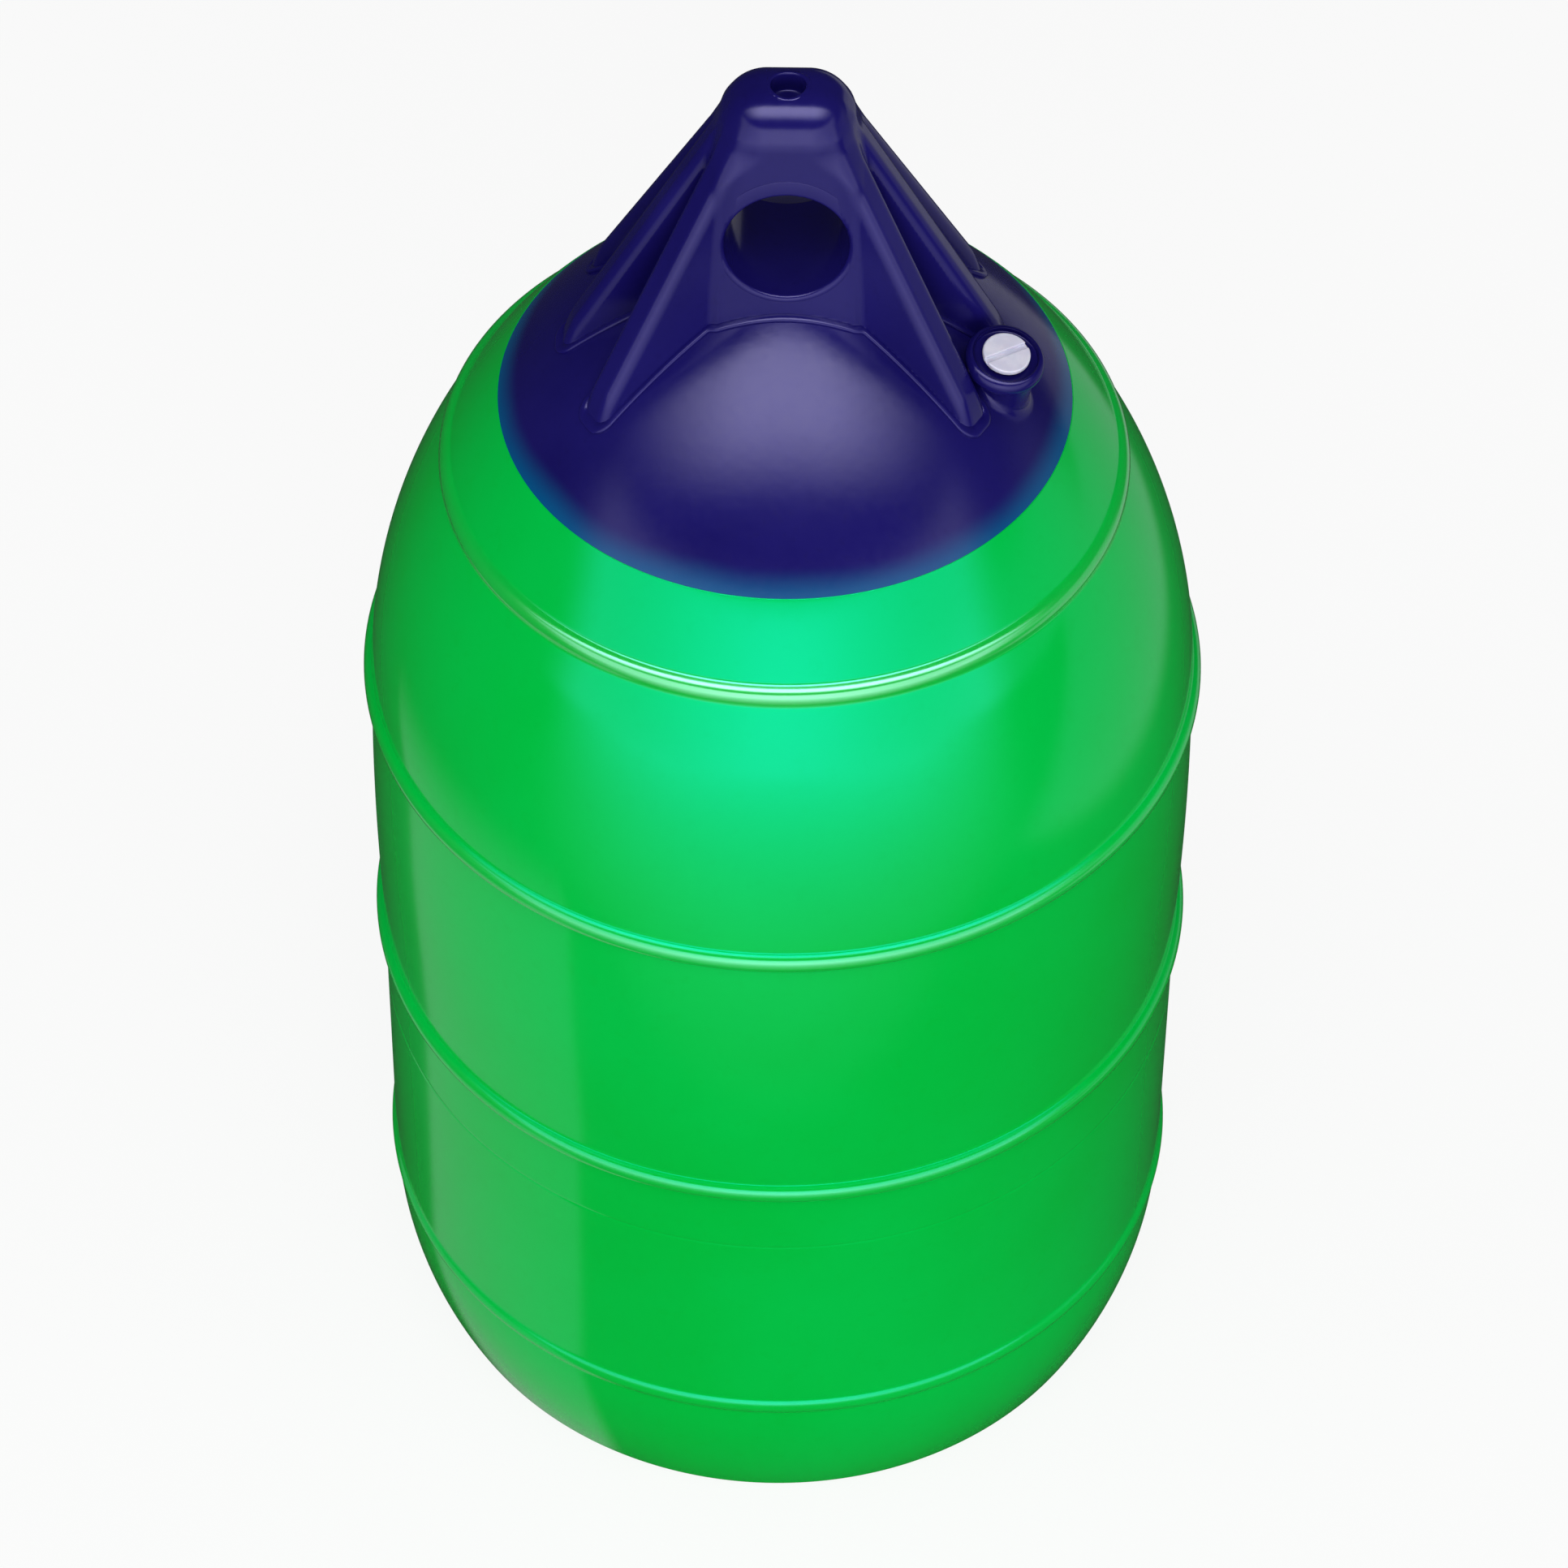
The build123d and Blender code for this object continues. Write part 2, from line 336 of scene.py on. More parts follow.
def net(name, field, low, high, step, place=None):
    """Surface where a field is zero, within a box of grid points. Every cell that the surface
    crosses gets one vertex, the mean of the crossings on its edges, and every crossed edge gets one
    face of the four cells round it. The vertices are then slid along the field's gradient onto the
    surface, which also gives the normals. It is open where the surface leaves the box."""
    axes = [np.arange(a, b + step, step) for a, b in zip(low, high)]
    values = field(axes[0][:, None, None], axes[1][None, :, None], axes[2][None, None, :])
    inside = values < 0
    shape = np.array(values.shape) - 1
    total = np.zeros((3, *shape), np.float32)
    count = np.zeros(shape, np.int8)
    crossings = []
    for axis in range(3):
        first = [slice(None)] * 3
        second = [slice(None)] * 3
        first[axis] = slice(0, -1)
        second[axis] = slice(1, None)
        a = values[tuple(first)]
        b = values[tuple(second)]
        crossed = inside[tuple(first)] != inside[tuple(second)]
        share = np.where(crossed, a / np.where(crossed, a - b, 1), 0).astype(np.float32)
        crossings.append((crossed, inside[tuple(first)]))
        others = [i for i in range(3) if i != axis]
        for di in (0, 1):
            for dj in (0, 1):
                part = [slice(None)] * 3
                part[others[0]] = slice(di, di + shape[others[0]])
                part[others[1]] = slice(dj, dj + shape[others[1]])
                hit = crossed[tuple(part)]
                count += hit
                total[axis] += share[tuple(part)]
                total[others[0]] += di * hit
                total[others[1]] += dj * hit
    active = count > 0
    number = np.full(shape, -1, np.int64)
    number[active] = np.arange(active.sum())
    cells = np.argwhere(active)
    middle = total[:, active].T / count[active][:, None]
    points = (cells + middle) * step + np.array([a[0] for a in axes])
    quads = []
    for axis, (crossed, start_inside) in enumerate(crossings):
        i, j = [k for k in range(3) if k != axis]
        at = np.argwhere(crossed)
        keep = (at[:, i] > 0) & (at[:, i] < shape[i]) & (at[:, j] > 0) & (at[:, j] < shape[j])
        at = at[keep]
        out = start_inside[tuple(at.T)]
        ring = []
        for di, dj in ((-1, -1), (0, -1), (0, 0), (-1, 0)):
            cell = at.copy()
            cell[:, i] += di
            cell[:, j] += dj
            ring.append(number[tuple(cell.T)])
        ring = np.stack(ring, 1)
        forward = out if axis != 1 else ~out
        quads.append(np.where(forward[:, None], ring, ring[:, ::-1]))
    quads = np.concatenate(quads)
    for _ in range(SLIDE_ROUNDS):
        gradient, value = slope_of(field, points, step * 0.05)
        size = np.maximum((gradient**2).sum(1), 0.25)
        move = -gradient * (value / size)[:, None]
        reach = np.linalg.norm(move, axis=1)
        points = points + move * np.minimum(1, 0.5 * step / np.maximum(reach, 1e-9))[:, None]
    normals, _ = slope_of(field, points, step * 0.2)
    if place is not None:
        origin, turn = place
        points = points @ turn + origin
        normals = normals @ turn
    return mesh_piece(name, points, quads, normals)


def slope_of(field, points, reach):
    """Gradient by central differences, and the value, of a field at points."""
    x, y, z = points.T
    gradient = np.stack([
        field(x + reach, y, z) - field(x - reach, y, z),
        field(x, y + reach, z) - field(x, y - reach, z),
        field(x, y, z + reach) - field(x, y, z - reach),
    ], 1) / (2 * reach)
    return gradient, field(x, y, z)


def mesh_piece(name, points, faces, normals=None):
    """Mesh object from points in mm and quads, smooth, with its place in its mesh."""
    mesh = bpy.data.meshes.new(name)
    mesh.from_pydata((points * METRE).tolist(), [], faces.tolist())
    mesh.validate()
    mesh.shade_smooth()
    if normals is not None and len(mesh.vertices) == len(normals):
        unit = normals / np.maximum(np.linalg.norm(normals, axis=1), 1e-9)[:, None]
        mesh.normals_split_custom_set_from_vertices(unit.tolist())
    piece = bpy.data.objects.new(name, mesh)
    bpy.context.scene.collection.objects.link(piece)
    return piece


def turned(name, radii, heights, steps, place=None, lift=None):
    """A closed profile of (radius, height) points turned round an axis. Rows whose radius is zero
    are poles and become one vertex each. lift gives a height that is added at every x and y."""
    angle = np.linspace(0, 2 * math.pi, steps, endpoint=False)
    x = radii[:, None] * np.cos(angle)
    y = radii[:, None] * np.sin(angle)
    z = heights[:, None] + (np.zeros_like(x) if lift is None else lift(x, y))
    points = np.stack([x, y, z], 2).reshape(-1, 3)
    rows = np.arange(len(radii) - 1)[:, None] * steps
    here = np.arange(steps)[None, :]
    after = (here + 1) % steps
    quads = np.stack([rows + here, rows + after, rows + steps + after, rows + steps + here], 2)
    quads = quads.reshape(-1, 4)
    if place is not None:
        origin, turn = place
        points = points @ turn + origin
    piece = mesh_piece(name, points, quads)
    merge(piece)
    return piece


def looped(name, points):
    """A closed surface from a grid of points whose rows and columns both run round in loops."""
    rows, steps = points.shape[:2]
    here = np.arange(rows * steps).reshape(rows, steps)
    after = np.roll(here, -1, 1)
    quads = np.stack([here, after, np.roll(after, -1, 0), np.roll(here, -1, 0)], 2).reshape(-1, 4)
    piece = mesh_piece(name, points.reshape(-1, 3), quads)
    merge(piece)
    return piece


def merge(piece):
    """Joins the vertices that lie in one place, as at a pole."""
    work = bmesh.new()
    work.from_mesh(piece.data)
    bmesh.ops.remove_doubles(work, verts=work.verts, dist=1e-7)
    bmesh.ops.recalc_face_normals(work, faces=work.faces)
    work.to_mesh(piece.data)
    work.free()
    piece.data.shade_smooth()


def arc(centre, radius, start, end, count):
    """Points of an arc from one angle to another, in degrees, anticlockwise from the first axis."""
    angle = np.radians(np.linspace(start, end, count))
    return np.stack([centre[0] + radius * np.cos(angle), centre[1] + radius * np.sin(angle)], 1)


def ring_heights():
    """Heights of the four moulded rings, from the lowest."""
    return (BARREL_LOW + RING_INSET, (BARREL_LOW + BARREL_TOP) / 2 + RING_INSET,
            BARREL_TOP + RING_INSET, BARREL_TOP + HEAD_RING_RISE)


def hull_outline(along):
    """Outer profile of the hull at distances along it from its lowest point: bottom arc, straight
    wall and shoulder arc. Gives the radius, the height and the outward direction."""
    bottom = math.pi / 2 * HULL_RADIUS
    wall = BARREL_TOP - BARREL_LOW
    turn = np.clip(along / HULL_RADIUS, 0, math.pi / 2)
    lift = np.clip(along - bottom, 0, wall)
    lean = np.clip((along - bottom - wall) / SHOULDER_ARC, 0, None)
    out = np.stack([np.where(lean > 0, np.cos(lean), np.sin(turn)),
                    np.where(lean > 0, np.sin(lean), -np.cos(turn))], 1)
    radius = np.where(lean > 0, SHOULDER_ARC * np.cos(lean) - ARC_OFFSET,
                      HULL_RADIUS * np.sin(turn))
    height = np.where(lean > 0, BARREL_TOP + SHOULDER_ARC * np.sin(lean),
                      BARREL_LOW - HULL_RADIUS * np.cos(turn) + lift)
    return radius, height, out


def profile_length(height):
    """Distance along the hull's outline from its lowest point to a height."""
    if height > BARREL_TOP:
        lean = math.asin((height - BARREL_TOP) / SHOULDER_ARC)
        return math.pi / 2 * HULL_RADIUS + BARREL_TOP - BARREL_LOW + lean * SHOULDER_ARC
    return math.pi / 2 * HULL_RADIUS + height - BARREL_LOW


def ring_lift(gap, stand):
    """How far a moulded ring stands out at a distance from its crest: a round bead whose feet run
    into the skin on small hollow curves, by a soft maximum of the bead and nothing."""
    bead = np.sqrt(np.clip(RING_ROUND**2 - gap**2, 0.01, None)) - (RING_ROUND - stand)
    return np.logaddexp(0, np.clip(bead, -4, None) / RING_ROOT) * RING_ROOT


def hull_skin():
    """The green skin: hull outline with four rings, and the wall's inner face back to the bottom.
    The wall swells a little between the two middle rings, along a sine, and a parting line runs
    below them. Rows lie closer together at the rings, the parting line and the top edge."""
    total = profile_length(COLOUR_LINE)
    crests = [profile_length(level) for level in ring_heights()]
    parting = crests[1] - PARTING_DROP
    fine = [crest + RING_SPREAD for crest in crests] + [parting + RING_SPREAD[::3] * 0.3]
    along = np.unique(np.concatenate([np.linspace(0, total - TOP_EDGE, OUTER_ROWS),
                                      np.linspace(total - TOP_EDGE, total, 11), *fine]))
    radius, height, out = hull_outline(along)
    low, high = crests[1], crests[2]
    swell = np.sin(np.clip((along - low) / (high - low), 0, 1) * math.pi)
    lift = BARREL_SWELL * swell
    top = RING_CREST - HULL_RADIUS
    for crest, stand in zip(crests, RING_STANDS):
        lift = np.maximum(lift, 0) + ring_lift(np.abs(along - crest), stand * top)
    line = np.exp(-(((along - parting) / PARTING_WIDTH) ** 2))
    lift = np.minimum(lift, top) - PARTING_DEPTH * line
    lift = lift - TOP_EDGE_DROP * np.clip(1 - (total - along) / TOP_EDGE_WIDTH, 0, 1) ** 2
    outer = np.stack([radius + out[:, 0] * lift, height + out[:, 1] * lift], 1)
    radius, height, out = hull_outline(np.linspace(total, 0, INNER_ROWS))
    inner = np.stack([radius - out[:, 0] * SKIN, height - out[:, 1] * SKIN], 1)
    inner[0, 1] = COLOUR_LINE
    inner[-1, 0] = 0
    outer[0, 0] = 0
    profile = np.concatenate([outer, inner])
    return turned("hull_skin", profile[:, 0], profile[:, 1], HULL_STEPS)


def eye_lining():
    """The rope eye's wall, its two rims and the thin land round each. Every section round the eye
    runs over the land on the hub's drafted face, round the rim's arc and through the bore. The
    land's outer edge is a circle set a little above the eye."""
    turn = np.linspace(0, 2 * math.pi, EYE_STEPS, endpoint=False)[None, :]
    land = LAND_RISE * np.cos(turn) + np.sqrt(LAND_RADIUS**2 - (LAND_RISE * np.sin(turn)) ** 2)
    land = np.maximum(land, EYE_RADIUS + EYE_RIM_ROUND + 0.5)
    bend = np.linspace(0, math.pi / 2, 9)[:, None]
    ones = np.ones_like(turn)
    reach = EYE_RADIUS + EYE_RIM_ROUND * (1 - np.sin(bend))
    out = LAND_PROUD - EYE_RIM_ROUND * (1 - np.cos(bend))
    radius = np.concatenate([ones * (EYE_RADIUS + 0.9), land - 0.3, land, land - 0.04, land - 0.15,
                             reach * ones])
    out = np.concatenate([ones * -4, ones * -0.6, ones * (LAND_PROUD - 0.12),
                          ones * (LAND_PROUD - 0.03), ones * LAND_PROUD, out * ones])
    x = radius * np.sin(turn)
    z = EYE_HEIGHT + radius * np.cos(turn)
    lean = (HUB_TOP - z) * math.tan(HUB_FACE_DRAFT)
    y = CROWN_HALF_THICKNESS + lean + out / math.cos(HUB_FACE_DRAFT)
    front = np.stack([x, -y, z], 2)
    back = np.stack([x, y, z], 2)[::-1]
    return looped("eye_lining", np.concatenate([front, back]))


def crown_height(x, y):
    """Height of the hub's rounded top over a point, from the round of its nearest edge."""
    side = np.maximum(np.abs(x) - CROWN_HALF_WIDTH + CROWN_ROUND, 0)
    face = np.maximum(np.abs(y) - CROWN_HALF_THICKNESS + CROWN_ROUND, 0)
    return HUB_TOP - CROWN_ROUND + np.sqrt(CROWN_ROUND**2 - side**2 - face**2)


def crown_socket():
    """The blind hole in the crown, whose rounded rim follows the crown: an outer wall inside the
    hub, a rim arc, the bore and a floor with a small corner."""
    rim = arc((CROWN_HOLE_RADIUS + SOCKET_RIM, -0.69), SOCKET_RIM, 80, 180, 9)
    corner = arc((CROWN_HOLE_RADIUS - SOCKET_CORNER, SOCKET_CORNER - CROWN_HOLE_DEPTH),
                 SOCKET_CORNER, 0, -90, 7)
    profile = np.concatenate([
        np.array([[0, -CROWN_HOLE_DEPTH - 1.2], [CROWN_HOLE_RADIUS + 0.8, -CROWN_HOLE_DEPTH - 1.2],
                  [CROWN_HOLE_RADIUS + 1.4, -1.2], [CROWN_HOLE_RADIUS + 1.5, -0.06]]),
        rim, corner, np.array([[0, -CROWN_HOLE_DEPTH]]),
    ])
    return turned("crown_socket", profile[:, 0], profile[:, 1], SOCKET_STEPS, lift=crown_height)


def base_bead():
    """The moulded bead round the foot of hub and ribs. Its path is where they meet the cap: the
    radius at each azimuth, found by halving, and then points evenly spaced along it. The profile is
    carried along, square to the path, with every point set on the cap and lifted along the cap's
    normal."""
    turn = np.linspace(0, 2 * math.pi, 24000, endpoint=False)
    low = np.full(turn.shape, 4.0)
    high = np.full(turn.shape, 76.0)
    for _ in range(30):
        middle = (low + high) / 2
        level = BARREL_TOP + np.sqrt(SHOULDER_ARC**2 - (middle + ARC_OFFSET) ** 2)
        inside = spread_field(middle * np.sin(turn), -middle * np.cos(turn), level) < 0
        low = np.where(inside, middle, low)
        high = np.where(inside, high, middle)
    path = np.stack([low * np.sin(turn), -low * np.cos(turn)], 1)
    path = np.concatenate([path, path[:1]])
    along = np.concatenate([[0], np.cumsum(np.linalg.norm(np.diff(path, axis=0), axis=1))])
    even = np.linspace(0, along[-1], BEAD_STEPS, endpoint=False)
    path = np.stack([np.interp(even, along, path[:, 0]), np.interp(even, along, path[:, 1])], 1)
    ahead = np.roll(path, -2, 0) - np.roll(path, 2, 0)
    side = np.stack([ahead[:, 1], -ahead[:, 0]], 1) / np.linalg.norm(ahead, axis=1)[:, None]
    side = side * np.sign((side * path).sum())
    bend = np.linspace(math.pi / 2, 0, 7)
    corner = BEAD_HEIGHT * 0.7
    reach = np.concatenate([[-1.6, -1.6], BEAD_REACH - corner + corner * np.cos(bend),
                            [BEAD_REACH - 0.1]])
    lift = np.concatenate([[-1.0, BEAD_HEIGHT * 1.25], BEAD_HEIGHT - corner + corner * np.sin(bend),
                           [-1.0]])
    flat = path[None] + side[None] * reach[:, None, None]
    radius = np.linalg.norm(flat, axis=2, keepdims=True)
    lean = (radius + ARC_OFFSET) / SHOULDER_ARC
    rise = np.sqrt(1 - lean**2)
    normal = np.concatenate([flat / radius * lean, rise], 2)
    points = np.concatenate([flat, BARREL_TOP + SHOULDER_ARC * rise], 2)
    return looped("base_bead", points + normal * lift[:, None, None])


def valve_place():
    """Origin and turning matrix that put a piece made in the valve's axes into the buoy's frame."""
    origin, right, ahead, screw = valve_axes()
    return origin, np.stack([right, ahead, screw])


def valve_rim():
    """The boss's round head, turned round the screw: bore, recess with a small inner corner,
    shoulder arc and underside arc."""
    bore = SHANK_RADIUS + SHANK_CLEARANCE
    bore_floor = -(RECESS_DEPTH - SEAL_THICKNESS + SHANK_LENGTH + BORE_END_GAP)
    edge = RIM_RADIUS - RIM_ROUND
    profile = np.concatenate([
        np.array([[0, -16], [PASSAGE_RADIUS, -16], [PASSAGE_RADIUS, bore_floor],
                  [bore, bore_floor], [bore, bore_floor + 0.3], [bore, -RECESS_DEPTH - 0.25],
                  [bore + 0.25, -RECESS_DEPTH], [RECESS_RADIUS - 0.6, -RECESS_DEPTH]]),
        arc((RECESS_RADIUS - 0.35, -RECESS_DEPTH + 0.35), 0.35, -90, 0, 6),
        arc((RECESS_RADIUS + 0.3, -0.3), 0.3, 180, 90, 6),
        arc((edge, -RIM_ROUND), RIM_ROUND, 84, 0, 16),
        arc((edge, RIM_ROUND - RIM_THICKNESS), RIM_ROUND, 0, -90, 14),
        np.array([[NECK_RADIUS - 3.0, -RIM_THICKNESS], [3.0, -16.5], [0, -16.5]]),
    ])
    return turned("valve_rim", profile[:, 0], profile[:, 1], VALVE_STEPS, valve_place())


class Nodes:
    """The nodes of one material or world. make adds a node from its type, its settings and its
    sockets."""

    def __init__(self, owner):
        self.owner = owner
        owner.use_nodes = True
        self.tree = owner.node_tree
        self.tree.nodes.clear()

    def make(self, kind, settings=None, out=0, **sockets):
        node = self.tree.nodes.new(kind)
        for key, value in (settings or {}).items():
            setattr(node, key, value)
        for key, value in sockets.items():
            self.feed(find_socket(node.inputs, key), value)
        if not node.outputs:
            return None
        return Value(self, node.outputs[out])

    def feed(self, socket, value):
        if isinstance(value, Value):
            self.tree.links.new(value.socket, socket)
        else:
            socket.default_value = value

    def mix(self, share, first, second):
        """Colour between two colours."""
        return self.make("ShaderNodeMix", {"data_type": "RGBA", "clamp_factor": True}, out=2,
                         i0=share, i6=first, i7=second)


def find_socket(sockets, key):
    """Socket by name, or by number as i0, i1 and so on."""
    if key[0] == "i" and key[1:].isdigit():
        return sockets[int(key[1:])]
    return sockets[key.replace("_", " ")]


class Value:
    """A socket in an expression: operators on it add Math nodes."""

    def __init__(self, nodes, socket):
        self.nodes = nodes
        self.socket = socket

    def math(self, operation, *others):
        sockets = {"i" + str(i): v for i, v in enumerate((self, *others))}
        return self.nodes.make("ShaderNodeMath", {"operation": operation}, **sockets)

    def __add__(self, other):
        return self.math("ADD", other)

    def __radd__(self, other):
        return self.math("ADD", other)

    def __sub__(self, other):
        return self.math("SUBTRACT", other)

    def __truediv__(self, other):
        return self.math("DIVIDE", other)

    def __rsub__(self, other):
        return self.math("MULTIPLY_ADD", -1.0, other)

    def __mul__(self, other):
        return self.math("MULTIPLY", other)

    def __rmul__(self, other):
        return self.math("MULTIPLY", other)

    def smooth(self, start, end):
        """Zero up to start and one from end on, along an S curve."""
        return self.nodes.make("ShaderNodeMapRange", {"interpolation_type": "SMOOTHSTEP"},
                               Value=self, From_Min=start, From_Max=end)


def places(nodes):
    """Object coordinates in metres, and their x, y and z."""
    where = nodes.make("ShaderNodeTexCoord", out="Object")
    parts = nodes.make("ShaderNodeSeparateXYZ", Vector=where).socket.node
    return where, [Value(nodes, socket) for socket in parts.outputs]


def noise(nodes, where, scale, detail=3.0, rough=0.5):
    """Soft noise between about 0.3 and 0.7, its grain set by scale per metre."""
    return nodes.make("ShaderNodeTexNoise", out="Fac", Vector=where, Scale=scale, Detail=detail,
                      Roughness=rough)


def bumped(nodes, height, distance, strength=1.0):
    """Normal from a height between 0 and 1 that stands for a distance in metres."""
    return nodes.make("ShaderNodeBump", Height=height, Distance=distance, Strength=strength)


def surface(nodes, constants, **varied):
    """Principled shader with its fixed sockets set and its varied ones linked, as the output."""
    shader = nodes.make("ShaderNodeBsdfPrincipled", **varied)
    for key, value in constants.items():
        shader.socket.node.inputs[key].default_value = value
    nodes.make("ShaderNodeOutputMaterial", Surface=shader)
    return nodes.owner


def linear(red, green, blue):
    """Linear colour from screen values of 0 to 255."""
    def one(value):
        share = value / 255
        return share / 12.92 if share <= 0.04045 else ((share + 0.055) / 1.055) ** 2.4
    return (one(red), one(green), one(blue), 1.0)


def hull_vinyl():
    """Glossy green vinyl: faint cloudy colour, slight pull marks and a fine moulded grain. A coat
    on the rings' crests stands for their rubbed polish, the stronger the higher the ring."""
    nodes = Nodes(bpy.data.materials.new("hull_vinyl"))
    where, (_, _, z) = places(nodes)
    cloud = noise(nodes, where, 9.0, 4.0)
    fine = noise(nodes, where, 260.0, 2.0)
    colour = nodes.mix(cloud.smooth(0.35, 0.65), linear(0, 186, 58), linear(0, 191, 66))
    colour = nodes.mix(fine.smooth(0.55, 0.75) * 0.1, colour, linear(0, 172, 36))
    rough = cloud.smooth(0.3, 0.7) * 0.03 + fine.smooth(0.4, 0.8) * 0.02 + 0.11
    swell = noise(nodes, where, 14.0, 2.0)
    grain = noise(nodes, where, 900.0, 2.0)
    normal = bumped(nodes, swell + grain * 0.01, 0.0008, 0.2)
    polish = 0.0
    for level, share in zip(ring_heights(), RING_POLISH):
        gap = (z - level * METRE).math("ABSOLUTE")
        polish = (1.0 - gap.smooth(POLISH_FULL * METRE, POLISH_END * METRE)) * share + polish
    constants = {"IOR": 1.5, "Specular IOR Level": 1.0, "Specular Tint": (0.02, 0.78, 1.0, 1.0),
                 "Coat IOR": 2.0, "Coat Roughness": 0.2}
    return surface(nodes, constants, Base_Color=colour, Roughness=rough, Coat_Weight=polish,
                   Normal=normal)


def head_vinyl():
    """Navy solid vinyl that turns to teal at the cap's lower edge, with a satin gloss."""
    nodes = Nodes(bpy.data.materials.new("head_vinyl"))
    where, (_, _, z) = places(nodes)
    cloud = noise(nodes, where, 22.0, 4.0)
    fine = noise(nodes, where, 420.0, 3.0)
    line = COLOUR_LINE * METRE
    drift = cloud * 0.004 + z
    fade = drift.smooth(line + 0.0085, line + 0.001)
    navy = nodes.mix(cloud.smooth(0.35, 0.65), linear(20, 15, 86), linear(25, 20, 94))
    navy = nodes.mix(fine.smooth(0.55, 0.75) * 0.2, navy, linear(16, 10, 74))
    colour = nodes.mix(fade, navy, linear(0, 78, 128))
    rough = fine.smooth(0.3, 0.7) * 0.04 + 0.15
    normal = bumped(nodes, fine, 0.00006, 0.25)
    constants = {"IOR": 1.5, "Specular IOR Level": 0.3, "Specular Tint": (0.7, 0.66, 1.0, 1.0)}
    return surface(nodes, constants, Base_Color=colour, Roughness=rough, Normal=normal)


def plug_nylon():
    """Off white nylon with a trace of lavender and soft tool marks."""
    nodes = Nodes(bpy.data.materials.new("plug_nylon"))
    where, _ = places(nodes)
    cloud = noise(nodes, where, 180.0, 3.0)
    fine = noise(nodes, where, 1800.0, 2.0)
    colour = nodes.mix(cloud.smooth(0.35, 0.65), linear(208, 207, 226), linear(222, 221, 236))
    rough = fine.smooth(0.3, 0.7) * 0.12 + 0.36
    normal = bumped(nodes, fine, 0.00006, 0.4)
    return surface(nodes, {"IOR": 1.53, "Subsurface Weight": 0.12, "Subsurface Scale": 0.002},
                   Base_Color=colour, Roughness=rough, Normal=normal)


def seal_rubber():
    """Dull black rubber."""
    nodes = Nodes(bpy.data.materials.new("seal_rubber"))
    where, _ = places(nodes)
    fine = noise(nodes, where, 1200.0, 3.0)
    colour = nodes.mix(fine, linear(24, 24, 28), linear(40, 40, 46))
    rough = fine.smooth(0.3, 0.7) * 0.15 + 0.6
    normal = bumped(nodes, fine, 0.0001, 0.3)
    return surface(nodes, {"IOR": 1.5}, Base_Color=colour, Roughness=rough, Normal=normal)


def ray_kinds(nodes):
    """Light Path's marks for camera, glossy and transmission rays."""
    marks = nodes.make("ShaderNodeLightPath", out="Is Camera Ray").socket.node.outputs
    kinds = ("Is Camera Ray", "Is Glossy Ray", "Is Transmission Ray")
    return [Value(nodes, marks[kind]) for kind in kinds]


def beyond(x, y, point, normal, blur):
    """Zero behind a line on the floor and one in front of it, from a point and a normal."""
    gap = (x - point[0]) * normal[0] + (y - point[1]) * normal[1]
    return gap.smooth(-blur, blur)


def floor_white():
    """Pale floor that shows near white and keeps a soft shadow. In gloss it is dim near the buoy,
    with a lighter sector on the left, a light part on the right, and grows brighter far in
    front."""
    nodes = Nodes(bpy.data.materials.new("floor_white"))
    camera_ray, glossy, transmission = ray_kinds(nodes)
    where, (x, y, _) = places(nodes)
    near, far = [beyond(x, y, point, normal, SECTOR_BLUR) for point, normal in SECTOR_EDGES]
    sector = near * far
    ahead = (y * -1.0 - FRONT_START).math("MAXIMUM", 0.0)
    aside = x.math("ABSOLUTE") / (ahead + FRONT_START)
    front = ahead / (ahead + 1.0) * (1.0 - aside.smooth(0.2, 2.2))
    away = nodes.make("ShaderNodeVectorMath", {"operation": "LENGTH"}, out="Value", i0=where)
    sector = sector * (1.0 - away.smooth(0.32, 0.5))
    right = x.smooth(0.4, 0.5) * y.smooth(-0.35, -0.2)
    gloss = sector * SECTOR_GLOSS + front * FRONT_GLOSS + right * RIGHT_GLOSS + DIM_GLOSS
    matt = nodes.make("ShaderNodeBsdfDiffuse", Color=(FLOOR_GREY, FLOOR_GREY, FLOOR_GREY, 1))
    strength = 1.0 - glossy * (1.0 - gloss)
    glow = nodes.make("ShaderNodeEmission", Color=(1, 1, 1, 1), Strength=strength)
    share = camera_ray * FLOOR_GLOW + glossy + transmission
    both = nodes.make("ShaderNodeMixShader", i0=share, i1=matt, i2=glow)
    nodes.make("ShaderNodeOutputMaterial", Surface=both)
    return nodes.owner


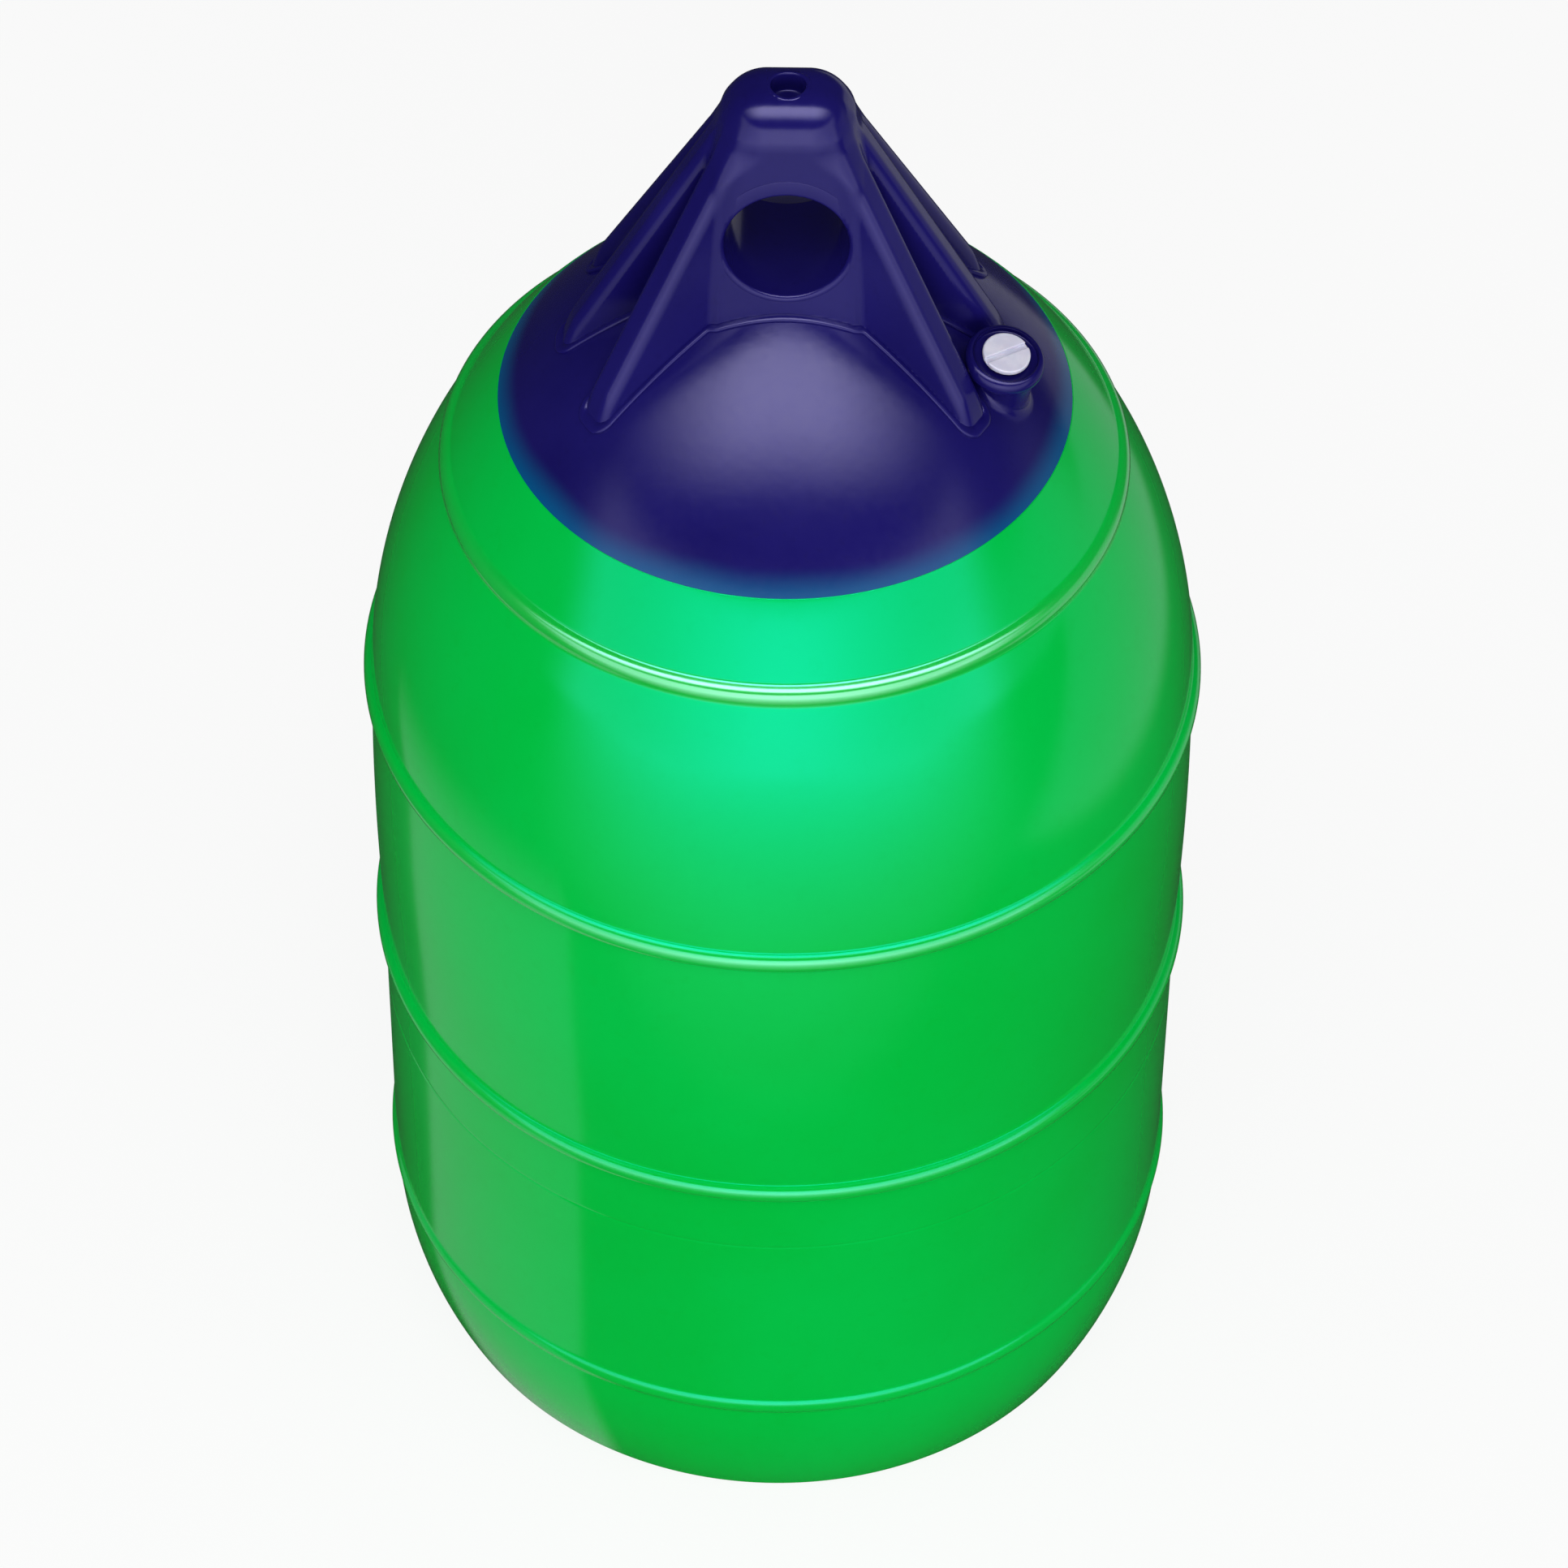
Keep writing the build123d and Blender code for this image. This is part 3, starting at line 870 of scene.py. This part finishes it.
def studio_world():
    """White to the camera, a plain level for diffuse light, and in gloss a dim room with three soft
    panels, worked out from the ray's direction: one low in front, one high in front that is wider
    than tall, and one on the right."""
    nodes = Nodes(bpy.data.worlds.new("studio_world"))
    camera_ray, glossy, transmission = ray_kinds(nodes)
    direction = nodes.make("ShaderNodeTexCoord", out="Generated")
    parts = nodes.make("ShaderNodeSeparateXYZ", Vector=direction).socket.node
    x, y, z = [Value(nodes, socket) for socket in parts.outputs]
    ahead = y * -1.0
    aside = x.math("ABSOLUTE")
    low = ahead.smooth(0.0, 0.3) * (1.0 - aside.smooth(0.0, 0.85) * 0.5)
    low = low * (1.0 - aside.smooth(0.82, 0.95)) * (1.0 - z.smooth(0.47, 0.57))
    bow = x * x
    high = (bow * 0.35 + z).smooth(0.76, 0.94) * (bow * 0.2 + ahead).smooth(0.09, 0.17)
    high = high * (1.0 - aside.smooth(0.2, 1.05))
    right = x.smooth(0.6, 0.85) * (1.0 - z.smooth(0.15, 0.35)) * ahead.smooth(-0.6, -0.2)
    gloss = low * FRONT_GLOSS + high * HIGH_GLOSS + right * RIGHT_GLOSS + DIM_GLOSS
    seen = camera_ray + transmission
    strength = seen * (1.0 - ROOM_LIGHT) + glossy * (gloss - ROOM_LIGHT) + ROOM_LIGHT
    glow = nodes.make("ShaderNodeBackground", Color=(1, 1, 1, 1), Strength=strength)
    nodes.make("ShaderNodeOutputWorld", Surface=glow)
    return nodes.owner


def paint(piece, material):
    """Puts one material on every slot of a piece."""
    if not piece.data.materials:
        piece.data.materials.append(material)
    for i in range(len(piece.data.materials)):
        piece.data.materials[i] = material


def softbox(name, place, target, width, height, power):
    """Rectangular lamp that faces a point and isn't itself seen in gloss."""
    lamp = bpy.data.lights.new(name, "AREA")
    lamp.shape = "RECTANGLE"
    lamp.size = width
    lamp.size_y = height
    lamp.energy = power
    box = bpy.data.objects.new(name, lamp)
    box.visible_glossy = False
    box.location = place
    box.rotation_euler = (Vector(target) - Vector(place)).to_track_quat("-Z", "Y").to_euler()
    bpy.context.scene.collection.objects.link(box)


def studio():
    """Floor at the waterline, soft lamps and a pale world."""
    mesh = bpy.data.meshes.new("floor")
    half = FLOOR_HALF
    corners = [(-half, -half, 0), (half, -half, 0), (half, half, 0), (-half, half, 0)]
    mesh.from_pydata(corners, [], [(0, 1, 2, 3)])
    floor = bpy.data.objects.new("floor", mesh)
    bpy.context.scene.collection.objects.link(floor)
    paint(floor, floor_white())
    for name, place, width, height, power in LAMPS:
        softbox(name, place, LAMP_TARGET, width, height, power)
    bpy.context.scene.world = studio_world()


def camera():
    """Camera above the front, looking down along the buoy, with a slight roll."""
    data = bpy.data.cameras.new("camera")
    data.sensor_width = 36.0
    data.lens = CAMERA_LENS
    place = Vector((CAMERA_SIDE, -CAMERA_BACK, CAMERA_PLANE + CAMERA_RISE)) * METRE
    target = Vector((CAMERA_SIDE, 0.0, CAMERA_PLANE - TARGET_DROP)) * METRE
    view = bpy.data.objects.new("camera", data)
    turn = (target - place).to_track_quat("-Z", "Y").to_matrix()
    turn = turn @ Matrix.Rotation(CAMERA_ROLL, 3, "Z")
    view.location = place
    view.rotation_euler = turn.to_euler()
    data.clip_start = 0.05
    data.clip_end = 30.0
    bpy.context.scene.collection.objects.link(view)
    bpy.context.scene.camera = view


def make_buoy():
    """Every piece, its finish, its body and the solids that it stands for."""
    hull = hull_skin()
    paint(hull, hull_vinyl())
    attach(hull, "buoy")
    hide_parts("body_shell")

    navy = head_vinyl()
    grid = HEAD_GRID
    head = net("rope_head", head_field, (-HEAD_REACH, -HEAD_REACH, COLOUR_LINE - 2.3 * grid),
               (HEAD_REACH, HEAD_REACH, HUB_TOP + 3), grid)
    paint(head, navy)
    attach(head, "buoy")
    ribs = [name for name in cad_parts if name.startswith("rib_")]
    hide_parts("head_cap", "rope_hub", *ribs)

    for piece in (eye_lining(), crown_socket(), base_bead()):
        paint(piece, navy)
        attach(piece, "buoy")

    rim = valve_rim()
    paint(rim, navy)
    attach(rim, "buoy")
    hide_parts("valve_boss")

    plug = net("screw_plug", plug_field, (-7.2, -7.2, -8.2), (7.2, 7.2, 2.2), PLUG_GRID,
               valve_place())
    paint(plug, plug_nylon())
    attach(plug, "plug")
    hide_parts("valve_plug")

    paint(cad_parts["valve_seal"], seal_rubber())


camera()
make_buoy()
studio()
bpy.context.scene.view_settings.view_transform = "Standard"
